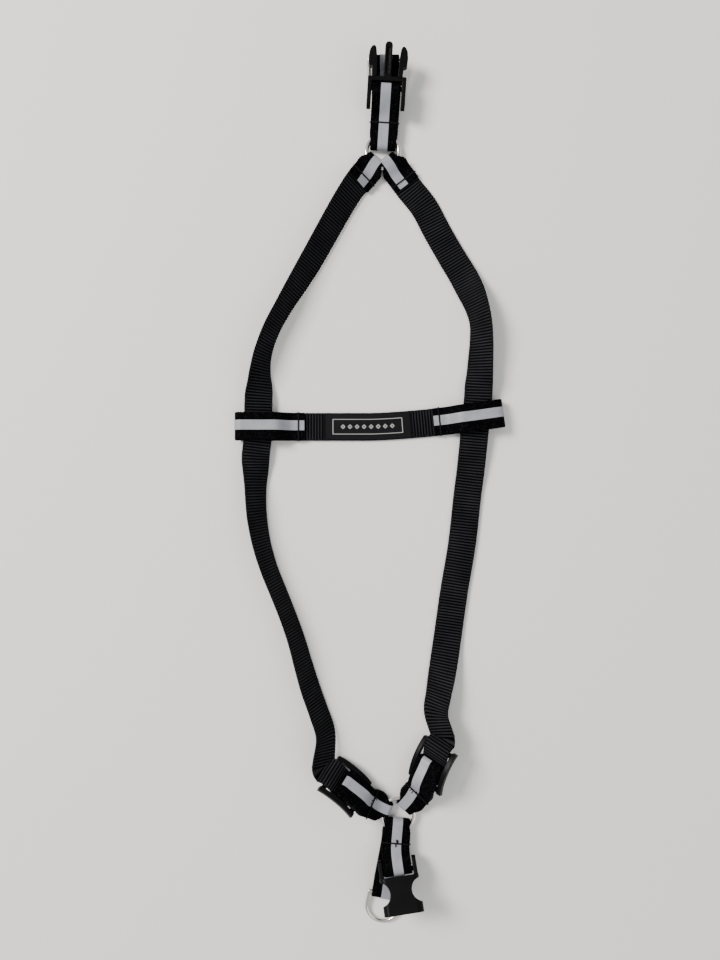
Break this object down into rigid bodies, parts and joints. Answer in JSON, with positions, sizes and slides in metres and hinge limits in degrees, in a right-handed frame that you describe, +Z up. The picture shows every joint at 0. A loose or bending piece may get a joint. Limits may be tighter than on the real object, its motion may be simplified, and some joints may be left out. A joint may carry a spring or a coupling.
{
  "type": "step-in dog harness",
  "caption": "Step-in dog harness of narrow black webbing with reflective tape, round rings, a side-release buckle, D-rings, strap slides and a sliding cross strap.",
  "frame": {"origin": "middle of the harness's bounding box, on the floor it lies on", "axes": "+Y along the harness from the socket end to the plug end, +X to its right seen from above, +Z up"},
  "size_m": [0.1532, 0.4938, 0.023],
  "materials": {
    "webbing": "ribbed woven nylon webbing",
    "reflective_tape": "glass-bead reflective tape",
    "thread": "polyester sewing thread",
    "plastic": "satin moulded acetal",
    "nickel": "nickel-plated steel wire",
    "woven_label": "fine damask-woven polyester label"
  },
  "bodies": {
    "root": {"left_strap": "webbing", "right_strap": "webbing", "left_strap_tape": "reflective_tape", "right_strap_tape": "reflective_tape", "left_top_tack": "thread", "right_top_tack": "thread", "left_bottom_tack": "thread", "right_bottom_tack": "thread", "left_slide": "plastic", "right_slide": "plastic", "upper_tab_loop": "webbing", "lower_tab_loop": "webbing"},
    "upper_ring_body": {"upper_ring": "nickel"},
    "lower_ring_body": {"lower_ring": "nickel"},
    "upper_tab_body": {"upper_tab": "webbing", "upper_tab_tape": "reflective_tape", "upper_tab_tack": "thread"},
    "lower_tab_body": {"lower_tab": "webbing", "lower_tab_tape": "reflective_tape", "lower_tab_tack": "thread"},
    "plug": {"plug_body": "plastic"},
    "left_arm": {"plug_arm_left": "plastic"},
    "right_arm": {"plug_arm_right": "plastic"},
    "socket": {"socket_body": "plastic"},
    "upper_dee": {"upper_dee_ring": "nickel"},
    "lower_dee": {"lower_dee_ring": "nickel"},
    "cross": {"cross_strap": "webbing", "cross_strap_tape": "reflective_tape", "cross_left_tack": "thread", "cross_right_tack": "thread", "label": "woven_label", "label_stitching": "thread"}
  },
  "joints": [
    {"name": "upper_ring_turn", "type": "hinge", "parent": "root", "child": "upper_ring_body", "pos_m": [0.00724, 0.19107, 0.00295], "axis": [0, 0, 1], "continuous": true},
    {"name": "lower_ring_turn", "type": "hinge", "parent": "root", "child": "lower_ring_body", "pos_m": [0.01584, -0.18453, 0.00295], "axis": [0, 0, 1], "continuous": true},
    {"name": "upper_tab_fold", "type": "hinge", "parent": "root", "child": "upper_tab_body", "pos_m": [0.008, 0.20355, 0.006], "axis": [0.9981, -0.061, 0], "range_deg": [0, 120]},
    {"name": "lower_tab_fold", "type": "hinge", "parent": "root", "child": "lower_tab_body", "pos_m": [0.01475, -0.19698, 0.006], "axis": [-0.9962, 0.0872, 0], "range_deg": [0, 105]},
    {"name": "plug_pivot", "type": "hinge", "parent": "upper_tab_body", "child": "plug", "pos_m": [0.00917, 0.22261, 0.0108], "axis": [0.9981, -0.061, 0], "range_deg": [0, 60]},
    {"name": "socket_pivot", "type": "hinge", "parent": "lower_tab_body", "child": "socket", "pos_m": [0.01562, -0.21258, 0.0096], "axis": [-0.9877, -0.1564, 0], "range_deg": [-24, 20]},
    {"name": "left_arm_flex", "type": "hinge", "parent": "plug", "child": "left_arm", "pos_m": [0.00239, 0.22971, 0.01138], "axis": [0.0053, 0.087, -0.9962], "range_deg": [0, 7], "stiffness_Nm_per_rad": 0.3},
    {"name": "right_arm_flex", "type": "hinge", "parent": "plug", "child": "right_arm", "pos_m": [0.01676, 0.22883, 0.01138], "axis": [-0.0053, -0.087, 0.9962], "range_deg": [0, 7], "stiffness_Nm_per_rad": 0.3},
    {"name": "upper_dee_swing", "type": "hinge", "parent": "upper_tab_body", "child": "upper_dee", "pos_m": [0.00864, 0.24102, 0.00675], "axis": [0.9998, 0.0174, 0], "range_deg": [0, 160]},
    {"name": "lower_dee_swing", "type": "hinge", "parent": "lower_tab_body", "child": "lower_dee", "pos_m": [0.00885, -0.22954, 0.00275], "axis": [-0.9816, 0.1908, 0], "range_deg": [-150, 25]},
    {"name": "cross_slide", "type": "slide", "parent": "root", "child": "cross", "axis": [0, 1, 0], "range_m": [-0.008, 0.006]}
  ]
}
